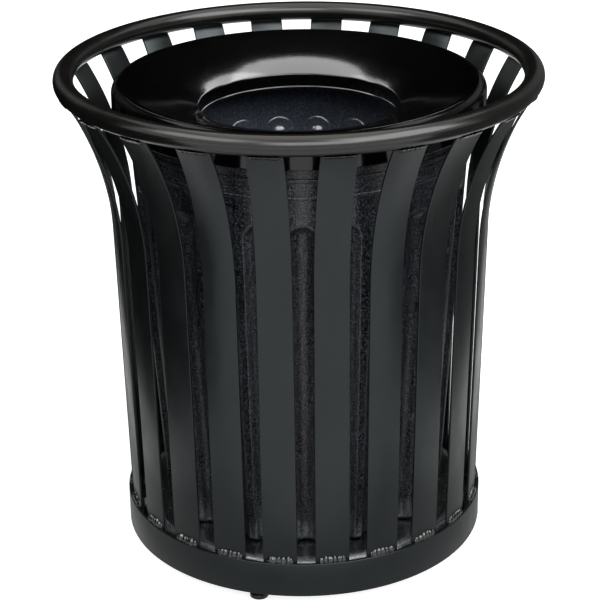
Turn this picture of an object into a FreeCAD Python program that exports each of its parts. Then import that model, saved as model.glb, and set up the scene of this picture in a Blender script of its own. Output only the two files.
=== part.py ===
import FreeCAD, Part
import math
import os

import Sketcher

# Open-top litter bin: a flared cage of flat steel slats between a tube rim and a rolled base band,
# with a floor pan, levelling feet, a lift-out fluted liner and a loose ring lid.
# The bin stands on z = 0 with its axis on Z, and its front faces -Y.

# Driving dimensions, in millimetres, degrees and counts
DIMENSIONS = [
    # Rim ring
    ("overall_height", 644.0),
    ("rim_diameter", 610.0),
    ("tube_diameter", 25.4),
    ("tube_wall", 2.1),
    # Base band
    ("foot_height", 16.0),
    ("band_diameter", 474.0),
    ("band_height", 46.0),
    ("band_thickness", 4.8),
    # Slats
    ("slat_count", 22),
    ("slat_width", 43.0),
    ("slat_thickness", 3.2),
    ("slat_lean", 1.3),
    ("slat_bend_radius", 365.0),
    ("slat_overlap", 32.0),
    # Weld beads
    ("weld_leg", 4.3),
    ("weld_rise", 8.0),
    ("weld_length", 36.0),
    # Floor pan
    ("pan_drop", 6.0),
    ("pan_thickness", 2.0),
    ("pan_shoulder", 22.0),
    ("pan_flange", 4.0),
    ("drain_diameter", 12.0),
    ("drain_circle", 300.0),
    ("drain_count", 4),
    # Liner
    ("liner_height", 564.4),
    ("liner_wall", 3.0),
    ("liner_floor", 3.5),
    ("liner_draft", 3.4),
    ("liner_clearance", 30.0),
    ("liner_corner", 12.0),
    ("liner_bead_low", 483.0),
    ("liner_bead_high", 505.0),
    ("liner_bead_radius", 3.0),
    ("liner_rim_reach", 8.5),
    ("liner_rim_drop", 16.0),
    ("liner_rim_round", 4.0),
    ("flute_count", 25),
    ("flute_radius", 20.0),
    ("flute_offset", 8.0),
    ("flute_height", 446.0),
    # Lid
    ("lid_thickness", 1.5),
    ("lid_clearance", 7.0),
    ("lid_skirt", 43.0),
    ("lid_shoulder", 13.0),
    ("lid_slope", 17.0),
    ("lid_cone", 50.0),
    ("lid_opening", 252.0),
    ("lid_funnel_depth", 34.0),
    ("lid_throat", 16.0),
    ("hem_radius", 2.0),
    # Levelling feet
    ("foot_count", 4),
    ("foot_inset", 18.0),
    ("bracket_width", 36.0),
    ("bracket_thickness", 4.8),
    ("nut_flats", 16.0),
    ("nut_height", 8.0),
    ("stud_diameter", 10.0),
    ("stud_reach", 28.0),
    ("stud_chamfer", 1.2),
    ("stud_hole_room", 1.0),
    ("collar_flats", 16.0),
    ("pin_diameter", 8.0),
    ("pad_diameter", 24.0),
    ("pad_height", 9.0),
    ("pad_top_diameter", 18.0),
    ("pad_side", 5.0),
    ("pad_chamfer", 1.2),
    ("pad_sole", 3.0),
    # Clearances
    ("weld_gap", 0.1),
    ("seat_gap", 0.2),
    ("running_gap", 0.05),
]

doc = FreeCAD.newDocument("litter_bin")
sheet = doc.addObject("Spreadsheet::Sheet", "dims")
for row, (alias, value) in enumerate(DIMENSIONS, start=1):
    sheet.set(f"A{row}", alias)
    sheet.set(f"B{row}", str(value))
    sheet.setAlias(f"B{row}", alias)
doc.recompute()

parts = []


def number(expression):
    return float(sheet.evalExpression(expression))


# Places worked out from the driving dimensions

BAND_OUTER = "(dims.band_diameter / 2)"
BAND_INNER = f"({BAND_OUTER} - dims.band_thickness)"
BAND_BOTTOM = "dims.foot_height"
BAND_TOP = "(dims.foot_height + dims.band_height)"
TUBE_RADIUS = "(dims.tube_diameter / 2)"
RIM_RADIUS = f"(dims.rim_diameter / 2 - {TUBE_RADIUS})"
RIM_LEVEL = f"(dims.overall_height - {TUBE_RADIUS})"

# A slat's outer face at the band's top, where the edges of the flat bar meet the round band
LEAN = "(dims.slat_lean * 1deg)"
FACE_RADIUS = f"sqrt(({BAND_INNER} - dims.weld_gap) ^ 2 - (dims.slat_width / 2) ^ 2)"
SLAT_FOOT = f"({BAND_TOP} - dims.slat_overlap)"
# A slat's head ends level under the lowest line of the tube
HEAD_LEVEL = f"({RIM_LEVEL} - {TUBE_RADIUS} - dims.weld_gap)"
HEAD_RADIUS = f"({RIM_RADIUS} + dims.slat_thickness)"
# The head's place along the leaning straight of the slat and out from it
HEAD_ALONG = (
    f"(({HEAD_RADIUS} - {FACE_RADIUS}) * sin({LEAN}) + ({HEAD_LEVEL} - {BAND_TOP}) * cos({LEAN}))"
)
HEAD_OUT = (
    f"(({HEAD_RADIUS} - {FACE_RADIUS}) * cos({LEAN}) - ({HEAD_LEVEL} - {BAND_TOP}) * sin({LEAN}))"
)
# The straight runs this far above the band before the one bend that ends at the head
STRAIGHT = f"({HEAD_ALONG} - sqrt({HEAD_OUT} * (2 * dims.slat_bend_radius - {HEAD_OUT})))"
BEND_RADIUS_AT = f"({FACE_RADIUS} + {STRAIGHT} * sin({LEAN}))"
BEND_LEVEL = f"({BAND_TOP} + {STRAIGHT} * cos({LEAN}))"
BEND_CENTRE_RADIUS = f"({BEND_RADIUS_AT} + dims.slat_bend_radius * cos({LEAN}))"
BEND_CENTRE_LEVEL = f"({BEND_LEVEL} - dims.slat_bend_radius * sin({LEAN}))"
SLAT_INNER_BEND = "(dims.slat_bend_radius + dims.slat_thickness)"


def straight_face(level):
    return f"({FACE_RADIUS} - ({BAND_TOP} - {level}) * tan({LEAN}))"


def bent_face(level, bend_radius):
    rise = f"({level} - {BEND_CENTRE_LEVEL})"
    return f"({BEND_CENTRE_RADIUS} - sqrt({bend_radius} ^ 2 - {rise} ^ 2))"


# Floor pan, held between the slats' feet
PAN_TOP = f"({BAND_TOP} - dims.pan_drop)"
PAN_RADIUS = f"({straight_face(SLAT_FOOT)} - dims.slat_thickness / cos({LEAN}) - dims.weld_gap)"
PAN_FLAT = f"({PAN_RADIUS} - dims.pan_shoulder)"
PAN_EDGE = f"({PAN_TOP} - dims.pan_shoulder)"
# A drain is cut twice as deep as the sheet, so that it goes clean through
DRAIN_DEPTH = "(2 * dims.pan_thickness)"

# Liner, which stands on the pan and clears the slats where they start to bend
DRAFT = "(dims.liner_draft * 1deg)"
LINER_BASE = f"({PAN_TOP} + dims.seat_gap)"
LINER_TOP = f"({LINER_BASE} + dims.liner_height)"
SLAT_INSIDE = f"({straight_face(BEND_LEVEL)} - dims.slat_thickness / cos({LEAN}))"
LINER_BASE_RADIUS = (
    f"({SLAT_INSIDE} - dims.liner_clearance - ({BEND_LEVEL} - {LINER_BASE}) * tan({DRAFT}))"
)
LINER_SKIN = f"(dims.liner_wall / cos({DRAFT}))"


def liner_wall_radius(level):
    return f"({LINER_BASE_RADIUS} + ({level} - {LINER_BASE}) * tan({DRAFT}))"


def liner_inner_radius(level):
    return f"({liner_wall_radius(level)} - {LINER_SKIN})"


# A bead rises from the wall over a little less than its own diameter
LINER_BEAD_HALF = "(0.9 * dims.liner_bead_radius)"
LINER_RIM_UNDER = f"({LINER_TOP} - dims.liner_wall)"
LINER_RIM_INSIDE = f"({liner_wall_radius(LINER_RIM_UNDER)} + dims.liner_rim_reach - dims.liner_wall)"
LINER_RIM_OUTER = f"({liner_wall_radius(LINER_RIM_UNDER)} + dims.liner_rim_reach)"

# Lid, whose sloping top lies on the inner edge of the liner's rim
SLOPE = "(dims.lid_slope * 1deg)"
LID_RADIUS = f"({LINER_RIM_OUTER} + dims.lid_clearance + dims.lid_thickness)"
LID_CREST = f"({LID_RADIUS} - dims.lid_shoulder)"
SHOULDER_UNDER = "(dims.lid_shoulder - dims.lid_thickness)"
SEAT_REACH = f"({LID_CREST} - {SHOULDER_UNDER} * sin({SLOPE}) - {liner_inner_radius(LINER_TOP)})"
SEAT_RISE = f"(dims.lid_shoulder - {SHOULDER_UNDER} * cos({SLOPE}) + {SEAT_REACH} * tan({SLOPE}))"
LID_TOP = f"({LINER_TOP} + dims.seat_gap + {SEAT_RISE})"
LID_BOTTOM = f"({LID_TOP} - dims.lid_skirt)"
LID_SHOULDER_LEVEL = f"({LID_TOP} - dims.lid_shoulder)"
# A cone runs down from the shoulder, and an arc that touches it ends at the throat's lip
CONE_OUTER = f"({LID_CREST} - dims.lid_shoulder * sin({SLOPE}))"
CONE_TOP = f"({LID_SHOULDER_LEVEL} + dims.lid_shoulder * cos({SLOPE}))"
CONE_INNER = f"({CONE_OUTER} - dims.lid_cone * cos({SLOPE}))"
CONE_END = f"({CONE_TOP} - dims.lid_cone * sin({SLOPE}))"
LID_OPENING_RADIUS = "(dims.lid_opening / 2)"
LID_LIP = f"({LID_TOP} - dims.lid_funnel_depth)"
LID_THROAT_END = f"({LID_LIP} - dims.lid_throat)"
FUNNEL_WIDTH = f"({CONE_INNER} - {LID_OPENING_RADIUS})"
FUNNEL_DROP = f"({CONE_END} - {LID_LIP})"
FUNNEL_BEND = f"(2 * ({FUNNEL_DROP} * cos({SLOPE}) - {FUNNEL_WIDTH} * sin({SLOPE})))"
FUNNEL_RADIUS = f"(({FUNNEL_WIDTH} ^ 2 + {FUNNEL_DROP} ^ 2) / {FUNNEL_BEND})"
FUNNEL_CENTRE_LEVEL = f"({CONE_END} - {FUNNEL_RADIUS} * cos({SLOPE}))"
FUNNEL_UNDER = f"({FUNNEL_RADIUS} - dims.lid_thickness)"
FUNNEL_UNDER_REACH = f"({FUNNEL_WIDTH} + {FUNNEL_RADIUS} * sin({SLOPE}) - dims.lid_thickness)"
LIP_UNDER = f"({FUNNEL_CENTRE_LEVEL} + sqrt({FUNNEL_UNDER} ^ 2 - {FUNNEL_UNDER_REACH} ^ 2))"
# A rolled hem covers a little less of the sheet than its own diameter
HEM_HEIGHT = "(1.8 * dims.hem_radius)"

# Levelling feet
FOOT_CIRCLE = f"({BAND_INNER} - dims.foot_inset)"
STUD_RADIUS = "(dims.stud_diameter / 2)"
BRACKET_TOP = f"({BAND_BOTTOM} + dims.bracket_thickness)"
STUD_TOP = f"({BAND_BOTTOM} + dims.stud_reach)"
COLLAR_BOTTOM = "(dims.pad_height + dims.seat_gap)"
COLLAR_HEIGHT = f"({BAND_BOTTOM} - dims.seat_gap - {COLLAR_BOTTOM})"
PIN_END = "(dims.pad_sole + dims.seat_gap)"
PIN_RADIUS = "(dims.pin_diameter / 2)"


# Construction helpers


def origin_feature(body, role):
    return next(item for item in body.Origin.OriginFeatures if item.Role == role)


def new_body(name):
    body = doc.addObject("PartDesign::Body", name)
    body.Label = name
    return body


def new_sketch(body, name, plane="XZ_Plane", lift=None):
    sketch = body.newObject("Sketcher::SketchObject", name)
    sketch.AttachmentSupport = [(origin_feature(body, plane), "")]
    sketch.MapMode = "FlatFace"
    if lift is not None:
        sketch.setExpression("AttachmentOffset.Base.z", lift)
    return sketch


def bind(sketch, constraint, expression):
    index = sketch.addConstraint(constraint)
    sketch.setExpression(f"Constraints[{index}]", expression)


def pin_point(sketch, geometry, point, place):
    across, up = place
    bind(sketch, Sketcher.Constraint("DistanceX", -1, 1, geometry, point, number(across)), across)
    bind(sketch, Sketcher.Constraint("DistanceY", -1, 1, geometry, point, number(up)), up)


def arc_between(start, end, radius, turn):
    # Minor arc from start to end: turn is 1 for counter-clockwise and -1 for clockwise
    chord = end - start
    left = FreeCAD.Vector(-chord.y, chord.x, 0).normalize()
    sagitta_side = math.sqrt(max(radius ** 2 - chord.Length ** 2 / 4, 0.0))
    centre = (start + end) * 0.5 + left * (turn * sagitta_side)
    first, last = (start, end) if turn > 0 else (end, start)
    angles = [math.atan2(point.y - centre.y, point.x - centre.x) for point in (first, last)]
    circle = Part.Circle(centre, FreeCAD.Vector(0, 0, 1), radius)
    return Part.ArcOfCircle(circle, angles[0], angles[1])


def draw_outline(sketch, corners, arcs=None):
    # A closed outline through the corners: arcs maps a corner to the radius and turn of the arc after it
    arcs = arcs or {}
    points = [FreeCAD.Vector(number(across), number(up), 0) for across, up in corners]
    ends = []
    for index, start in enumerate(points):
        end = points[(index + 1) % len(points)]
        if index in arcs:
            radius, turn = arcs[index]
            geometry = sketch.addGeometry(arc_between(start, end, number(radius), turn))
            ends.append((geometry, 1, 2) if turn > 0 else (geometry, 2, 1))
        else:
            geometry = sketch.addGeometry(Part.LineSegment(start, end))
            ends.append((geometry, 1, 2))
    for index, (geometry, start_point, end_point) in enumerate(ends):
        following, next_start, _ = ends[(index + 1) % len(ends)]
        sketch.addConstraint(Sketcher.Constraint("Coincident", geometry, end_point, following, next_start))
        pin_point(sketch, geometry, start_point, corners[index])
        if index in arcs:
            radius = arcs[index][0]
            bind(sketch, Sketcher.Constraint("Radius", geometry, number(radius)), radius)
    return ends


def draw_circle(sketch, centre, radius):
    across, up = centre
    middle = FreeCAD.Vector(number(across), number(up), 0)
    geometry = sketch.addGeometry(Part.Circle(middle, FreeCAD.Vector(0, 0, 1), number(radius)))
    pin_point(sketch, geometry, 3, centre)
    bind(sketch, Sketcher.Constraint("Radius", geometry, number(radius)), radius)


def draw_hexagon(sketch, centre_across, flats):
    # Corners at a sixth of a turn each, with two of them on the line through the centre
    reach = f"({flats} / (2 * cos(30deg)))"
    corners = []
    for step in range(6):
        angle = f"{60 * step}deg"
        corners.append((f"({centre_across} + {reach} * cos({angle}))", f"({reach} * sin({angle}))"))
    draw_outline(sketch, corners)


def revolve(body, sketch, name="turned"):
    feature = body.newObject("PartDesign::Revolution", name)
    feature.Profile = sketch
    feature.ReferenceAxis = (sketch, ["V_Axis"])
    feature.Angle = 360
    return feature


def pad(body, sketch, length, name="plate", both_sides=False):
    feature = body.newObject("PartDesign::Pad", name)
    feature.Profile = sketch
    feature.setExpression("Length", length)
    if both_sides:
        feature.SideType = "Symmetric"
    return feature


def repeat_around(body, feature, count, name="ring"):
    pattern = body.newObject("PartDesign::PolarPattern", name)
    pattern.Originals = [feature]
    pattern.Axis = (origin_feature(body, "Z_Axis"), [""])
    pattern.Angle = 360
    pattern.setExpression("Occurrences", count)
    body.Tip = pattern
    return pattern


def turn_about_axis(body, angle):
    # An angle of 0 is the front (-Y), and it grows towards +X
    body.Placement = FreeCAD.Placement(
        FreeCAD.Vector(0, 0, 0), FreeCAD.Rotation(FreeCAD.Vector(0, 0, 1), angle - 90)
    )


def expect_cut(before, after):
    # A cut has to take material away
    doc.recompute()
    if after.Shape.Volume >= before.Shape.Volume:
        raise RuntimeError(f"{after.Label} cuts nothing")


# Rim ring: round tube rolled into a hoop


def make_rim_tube():
    body = new_body("rim_tube")
    sketch = new_sketch(body, "rim_section")
    draw_circle(sketch, (RIM_RADIUS, RIM_LEVEL), TUBE_RADIUS)
    draw_circle(sketch, (RIM_RADIUS, RIM_LEVEL), f"({TUBE_RADIUS} - dims.tube_wall)")
    revolve(body, sketch)
    parts.append(body)


# Base band: flat bar rolled into a hoop


def make_base_band():
    body = new_body("base_band")
    sketch = new_sketch(body, "band_section")
    corners = [
        (BAND_INNER, BAND_BOTTOM),
        (BAND_OUTER, BAND_BOTTOM),
        (BAND_OUTER, BAND_TOP),
        (BAND_INNER, BAND_TOP),
    ]
    draw_outline(sketch, corners)
    revolve(body, sketch)
    parts.append(body)


# Slats: flat bars, straight with a slight lean and then bent outwards to the rim


def slat_angles():
    count = int(number("dims.slat_count"))
    return [(index + 0.5) * 360 / count for index in range(count)]


def make_slat(name, angle):
    body = new_body(name)
    sketch = new_sketch(body, f"{name}_side")
    thickness_across = f"dims.slat_thickness / cos({LEAN})"
    corners = [
        (straight_face(SLAT_FOOT), SLAT_FOOT),
        (BEND_RADIUS_AT, BEND_LEVEL),
        (HEAD_RADIUS, HEAD_LEVEL),
        (bent_face(HEAD_LEVEL, SLAT_INNER_BEND), HEAD_LEVEL),
        (
            f"({BEND_RADIUS_AT} - dims.slat_thickness * cos({LEAN}))",
            f"({BEND_LEVEL} + dims.slat_thickness * sin({LEAN}))",
        ),
        (f"({straight_face(SLAT_FOOT)} - {thickness_across})", SLAT_FOOT),
    ]
    arcs = {1: ("dims.slat_bend_radius", -1), 3: (SLAT_INNER_BEND, 1)}
    draw_outline(sketch, corners, arcs)
    pad(body, sketch, "dims.slat_width", both_sides=True)
    turn_about_axis(body, angle)
    parts.append(body)


# Weld beads: one along each slat on the band's top edge, and one under the rim


def make_weld_ring(name, corners, arcs):
    body = new_body(name)
    body.AllowCompound = True
    sketch = new_sketch(body, f"{name}_section")
    draw_outline(sketch, corners, arcs)
    bead = pad(body, sketch, "dims.weld_length", "bead", both_sides=True)
    repeat_around(body, bead, "dims.slat_count")
    turn_about_axis(body, slat_angles()[0])
    parts.append(body)


def make_band_welds():
    bead_top = f"({BAND_TOP} + dims.weld_rise)"
    back = f"({straight_face(BAND_TOP)} + dims.weld_gap)"
    back_at_top = f"({straight_face(bead_top)} + dims.weld_gap)"
    corners = [(back, BAND_TOP), (f"({back} + dims.weld_leg)", BAND_TOP), (back_at_top, bead_top)]
    make_weld_ring("band_welds", corners, {1: ("dims.weld_rise", 1)})


def make_rim_welds():
    bead_bottom = f"({HEAD_LEVEL} - dims.weld_leg)"
    back = f"({HEAD_RADIUS} + dims.weld_gap)"
    front = f"({back} + dims.weld_leg)"
    tube_reach = f"({TUBE_RADIUS} + dims.weld_gap)"
    bulge_radius = "(1.4 * dims.weld_leg)"

    def under_tube(radius):
        return f"({RIM_LEVEL} - sqrt({tube_reach} ^ 2 - ({radius} - {RIM_RADIUS}) ^ 2))"

    corners = [
        (f"({bent_face(bead_bottom, 'dims.slat_bend_radius')} + dims.weld_gap)", bead_bottom),
        (front, under_tube(front)),
        (back, under_tube(back)),
        (back, HEAD_LEVEL),
    ]
    arcs = {0: (bulge_radius, 1), 1: (tube_reach, -1)}
    make_weld_ring("rim_welds", corners, arcs)


# Floor pan: pressed sheet with a rounded shoulder, a short flange and drain holes


def make_floor_pan():
    body = new_body("floor_pan")
    sketch = new_sketch(body, "pan_section")
    under = f"({PAN_TOP} - dims.pan_thickness)"
    flange_end = f"({PAN_EDGE} - dims.pan_flange)"
    flange_inside = f"({PAN_RADIUS} - dims.pan_thickness)"
    corners = [
        ("0", under),
        (PAN_FLAT, under),
        (flange_inside, PAN_EDGE),
        (flange_inside, flange_end),
        (PAN_RADIUS, flange_end),
        (PAN_RADIUS, PAN_EDGE),
        (PAN_FLAT, PAN_TOP),
        ("0", PAN_TOP),
    ]
    arcs = {1: ("(dims.pan_shoulder - dims.pan_thickness)", -1), 5: ("dims.pan_shoulder", 1)}
    draw_outline(sketch, corners, arcs)
    pressed = revolve(body, sketch)

    hole_sketch = new_sketch(body, "drain_section", "XY_Plane", lift=PAN_TOP)
    draw_circle(hole_sketch, ("(dims.drain_circle / 2)", "0"), "(dims.drain_diameter / 2)")
    hole = body.newObject("PartDesign::Pocket", "drain")
    hole.Profile = hole_sketch
    hole.setExpression("Length", DRAIN_DEPTH)
    pattern = repeat_around(body, hole, "dims.drain_count", "drains")
    expect_cut(pressed, pattern)
    parts.append(body)


# Liner: moulded tub with dome-topped flutes pressed into its wall and a turned-down rim


def cut_flutes(body, turned, name, radius, margin):
    # Each flute is a rod with a round head, laid along the drafted wall a little outside it
    axis_base = f"({LINER_BASE_RADIUS} + dims.flute_offset / cos({DRAFT}))"
    along = (f"sin({DRAFT})", f"cos({DRAFT})")
    inwards = (f"(0 - cos({DRAFT}))", f"sin({DRAFT})")
    head = f"(dims.flute_height / cos({DRAFT}) - sqrt(dims.flute_radius ^ 2 - dims.flute_offset ^ 2))"
    start = f"(0 - {margin})"

    def place(run, reach_along, reach_in):
        return (
            f"({axis_base} + ({run} + {reach_along}) * {along[0]} + {reach_in} * {inwards[0]})",
            f"({LINER_BASE} + ({run} + {reach_along}) * {along[1]} + {reach_in} * {inwards[1]})",
        )

    corners = [
        place(start, "0", "0"),
        place(head, radius, "0"),
        place(head, "0", radius),
        place(start, "0", radius),
    ]
    sketch = new_sketch(body, f"{name}_section")
    sides = draw_outline(sketch, corners, {1: (radius, 1)})
    axis = sketch.addGeometry(
        Part.LineSegment(
            FreeCAD.Vector(number(corners[0][0]), number(corners[0][1]), 0),
            FreeCAD.Vector(number(corners[1][0]), number(corners[1][1]), 0),
        ),
        True,
    )
    sketch.addConstraint(Sketcher.Constraint("Coincident", axis, 1, sides[0][0], sides[0][1]))
    sketch.addConstraint(Sketcher.Constraint("Coincident", axis, 2, sides[0][0], sides[0][2]))
    groove = body.newObject("PartDesign::Groove", name)
    groove.Profile = sketch
    groove.ReferenceAxis = (sketch, ["Axis0"])
    groove.Angle = 360
    pattern = repeat_around(body, groove, "dims.flute_count", f"{name}s")
    expect_cut(turned, pattern)


def make_liner_outside():
    body = new_body("liner_outside")
    sketch = new_sketch(body, "liner_outer_section")
    corner_top = f"({LINER_BASE} + dims.liner_corner)"
    corners = [
        ("0", LINER_BASE),
        (f"({LINER_BASE_RADIUS} - dims.liner_corner)", LINER_BASE),
        (liner_wall_radius(corner_top), corner_top),
    ]
    arcs = {1: ("dims.liner_corner", 1)}
    for bead in ("dims.liner_bead_low", "dims.liner_bead_high"):
        for side in ("-", "+"):
            level = f"({LINER_BASE} + {bead} {side} {LINER_BEAD_HALF})"
            corners.append((liner_wall_radius(level), level))
        arcs[len(corners) - 2] = ("dims.liner_bead_radius", 1)
    rim_end = f"({LINER_TOP} - dims.liner_rim_drop)"
    corners += [
        (liner_wall_radius(LINER_RIM_UNDER), LINER_RIM_UNDER),
        (LINER_RIM_INSIDE, LINER_RIM_UNDER),
        (LINER_RIM_INSIDE, rim_end),
        (LINER_RIM_OUTER, rim_end),
        (LINER_RIM_OUTER, f"({LINER_TOP} - dims.liner_rim_round)"),
        (f"({LINER_RIM_OUTER} - dims.liner_rim_round)", LINER_TOP),
        ("0", LINER_TOP),
    ]
    arcs[len(corners) - 3] = ("dims.liner_rim_round", 1)
    draw_outline(sketch, corners, arcs)
    turned = revolve(body, sketch)
    cut_flutes(body, turned, "outer_flute", "dims.flute_radius", "dims.liner_corner")
    turn_about_axis(body, 0)
    return body


def make_liner_inside():
    body = new_body("liner_inside")
    sketch = new_sketch(body, "liner_inner_section")
    floor = f"({LINER_BASE} + dims.liner_floor)"
    corner_top = f"({LINER_BASE} + dims.liner_corner)"
    inner_corner = "(dims.liner_corner - dims.liner_floor)"
    above = f"({LINER_TOP} + dims.liner_wall)"
    corners = [
        ("0", floor),
        (f"({liner_inner_radius(corner_top)} - {inner_corner})", floor),
        (liner_inner_radius(corner_top), corner_top),
        (liner_inner_radius(above), above),
        ("0", above),
    ]
    draw_outline(sketch, corners, {1: (inner_corner, 1)})
    turned = revolve(body, sketch)
    cut_flutes(body, turned, "inner_flute", "(dims.flute_radius + dims.liner_wall)", "dims.liner_corner")
    turn_about_axis(body, 0)
    return body


def make_liner():
    liner = doc.addObject("Part::Cut", "liner")
    liner.Label = "liner"
    liner.Base = make_liner_outside()
    liner.Tool = make_liner_inside()
    parts.append(liner)


# Lid: spun sheet ring with a skirt, a rounded shoulder, a sloping top and a throat with rolled hems


def make_lid():
    body = new_body("lid")
    sketch = new_sketch(body, "lid_section")
    sheet_in = "dims.lid_thickness"
    throat_back = f"({LID_OPENING_RADIUS} + {sheet_in})"
    skirt_back = f"({LID_RADIUS} - {sheet_in})"
    under_aside = f"{sheet_in} * sin({SLOPE})"
    under_down = f"{sheet_in} * cos({SLOPE})"
    corners = [
        (LID_RADIUS, LID_BOTTOM),
        (LID_RADIUS, LID_SHOULDER_LEVEL),
        (CONE_OUTER, CONE_TOP),
        (CONE_INNER, CONE_END),
        (LID_OPENING_RADIUS, LID_LIP),
        (LID_OPENING_RADIUS, LID_THROAT_END),
        (throat_back, LID_THROAT_END),
        (throat_back, f"({LID_THROAT_END} + {HEM_HEIGHT})"),
        (throat_back, LIP_UNDER),
        (f"({CONE_INNER} + {under_aside})", f"({CONE_END} - {under_down})"),
        (f"({CONE_OUTER} + {under_aside})", f"({CONE_TOP} - {under_down})"),
        (skirt_back, LID_SHOULDER_LEVEL),
        (skirt_back, f"({LID_BOTTOM} + {HEM_HEIGHT})"),
        (skirt_back, LID_BOTTOM),
    ]
    arcs = {
        1: ("dims.lid_shoulder", 1),
        3: (FUNNEL_RADIUS, 1),
        6: ("dims.hem_radius", 1),
        8: (FUNNEL_UNDER, -1),
        10: (SHOULDER_UNDER, -1),
        12: ("dims.hem_radius", 1),
    }
    draw_outline(sketch, corners, arcs)
    revolve(body, sketch)
    parts.append(body)


# Levelling feet: bracket, weld nut, threaded stud with a hexagon collar, and swivel pad


def foot_angles():
    # The first foot stands in the gap left of the front one
    count = int(number("dims.foot_count"))
    first = 0 - 360 / number("dims.slat_count")
    return [first + index * 360 / count for index in range(count)]


def make_bracket(name, angle):
    body = new_body(name)
    sketch = new_sketch(body, f"{name}_plan", "XY_Plane", lift=BAND_BOTTOM)
    weld_radius = f"({BAND_INNER} - dims.weld_gap)"
    half = "(dims.bracket_width / 2)"
    back = f"sqrt({weld_radius} ^ 2 - {half} ^ 2)"
    nose = f"({FOOT_CIRCLE} - {half})"
    corners = [
        (back, f"(0 - {half})"),
        (back, half),
        (FOOT_CIRCLE, half),
        (nose, "0"),
        (FOOT_CIRCLE, f"(0 - {half})"),
    ]
    draw_outline(sketch, corners, {0: (weld_radius, 1), 2: (half, 1), 3: (half, 1)})
    draw_circle(sketch, (FOOT_CIRCLE, "0"), f"({STUD_RADIUS} + dims.stud_hole_room)")
    pad(body, sketch, "dims.bracket_thickness")
    turn_about_axis(body, angle)
    parts.append(body)


def make_weld_nuts():
    body = new_body("weld_nuts")
    body.AllowCompound = True
    sketch = new_sketch(body, "nut_plan", "XY_Plane", lift=BRACKET_TOP)
    draw_hexagon(sketch, FOOT_CIRCLE, "dims.nut_flats")
    draw_circle(sketch, (FOOT_CIRCLE, "0"), f"({STUD_RADIUS} + dims.running_gap)")
    nut = pad(body, sketch, "dims.nut_height", "nut")
    repeat_around(body, nut, "dims.foot_count")
    turn_about_axis(body, foot_angles()[0])
    parts.append(body)


def place_at_foot(body, angle):
    turn_about_axis(body, angle)
    body.Placement.Base = body.Placement.Rotation.multVec(FreeCAD.Vector(number(FOOT_CIRCLE), 0, 0))


def make_stud(name, angle):
    body = new_body(name)
    sketch = new_sketch(body, f"{name}_side")
    collar_middle = f"({COLLAR_BOTTOM} + {COLLAR_HEIGHT} / 2)"
    corners = [
        ("0", PIN_END),
        (PIN_RADIUS, PIN_END),
        (PIN_RADIUS, collar_middle),
        (STUD_RADIUS, collar_middle),
        (STUD_RADIUS, f"({STUD_TOP} - dims.stud_chamfer)"),
        (f"({STUD_RADIUS} - dims.stud_chamfer)", STUD_TOP),
        ("0", STUD_TOP),
    ]
    draw_outline(sketch, corners)
    revolve(body, sketch, "rod")
    collar_sketch = new_sketch(body, f"{name}_collar", "XY_Plane", lift=COLLAR_BOTTOM)
    draw_hexagon(collar_sketch, "0", "dims.collar_flats")
    pad(body, collar_sketch, COLLAR_HEIGHT, "collar")
    place_at_foot(body, angle)
    parts.append(body)


def make_pad(name, angle):
    body = new_body(name)
    sketch = new_sketch(body, f"{name}_side")
    pad_radius = "(dims.pad_diameter / 2)"
    socket = f"({PIN_RADIUS} + dims.running_gap)"
    corners = [
        ("0", "0"),
        (f"({pad_radius} - dims.pad_chamfer)", "0"),
        (pad_radius, "dims.pad_chamfer"),
        (pad_radius, "dims.pad_side"),
        ("(dims.pad_top_diameter / 2)", "dims.pad_height"),
        (socket, "dims.pad_height"),
        (socket, "dims.pad_sole"),
        ("0", "dims.pad_sole"),
    ]
    draw_outline(sketch, corners)
    revolve(body, sketch)
    place_at_foot(body, angle)
    parts.append(body)


# Assembly

make_rim_tube()
make_base_band()
for index, angle in enumerate(slat_angles(), start=1):
    make_slat(f"slat_{index:02d}", angle)
make_band_welds()
make_rim_welds()
make_floor_pan()
make_weld_nuts()
for index, angle in enumerate(foot_angles(), start=1):
    make_bracket(f"foot_bracket_{index}", angle)
    make_stud(f"foot_stud_{index}", angle)
    make_pad(f"foot_pad_{index}", angle)
make_liner()
make_lid()
doc.recompute()

# Every feature has to be sound before anything is written
for item in doc.Objects:
    if "Invalid" in item.State or "Error" in item.State:
        raise RuntimeError(f"{item.Label} failed: {item.State}")
for part in parts:
    if part.Shape.isNull() or not part.Shape.isValid():
        raise RuntimeError(f"{part.Label} has no sound shape")

os.makedirs("parts", exist_ok=True)
for part in parts:
    part.Shape.exportStep(f"parts/{part.Label}.step")
    print(f"{part.Label}: {len(part.Shape.Solids)} solid(s), {part.Shape.Volume / 1000:.1f} cm3")
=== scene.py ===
import math

import bmesh
import bpy
from mathutils import Matrix, Vector, noise


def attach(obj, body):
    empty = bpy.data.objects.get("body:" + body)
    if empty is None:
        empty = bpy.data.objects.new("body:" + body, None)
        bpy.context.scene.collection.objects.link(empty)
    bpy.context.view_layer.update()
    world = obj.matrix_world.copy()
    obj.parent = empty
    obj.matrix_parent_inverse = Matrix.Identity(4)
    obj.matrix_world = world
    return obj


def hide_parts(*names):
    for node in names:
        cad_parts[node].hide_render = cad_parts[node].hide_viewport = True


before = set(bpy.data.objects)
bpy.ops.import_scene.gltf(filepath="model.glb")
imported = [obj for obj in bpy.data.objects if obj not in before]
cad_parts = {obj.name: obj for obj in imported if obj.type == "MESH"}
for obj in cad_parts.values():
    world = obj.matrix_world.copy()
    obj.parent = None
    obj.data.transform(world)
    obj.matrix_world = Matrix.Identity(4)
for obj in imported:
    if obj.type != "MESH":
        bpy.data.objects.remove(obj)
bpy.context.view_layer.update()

# Looks of an open-top litter bin, in metres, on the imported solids.
# An angle round the bin's axis is 0 at the front (-Y) and grows towards +X.

# Sizes of the solids that the finer pieces stand for

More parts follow.
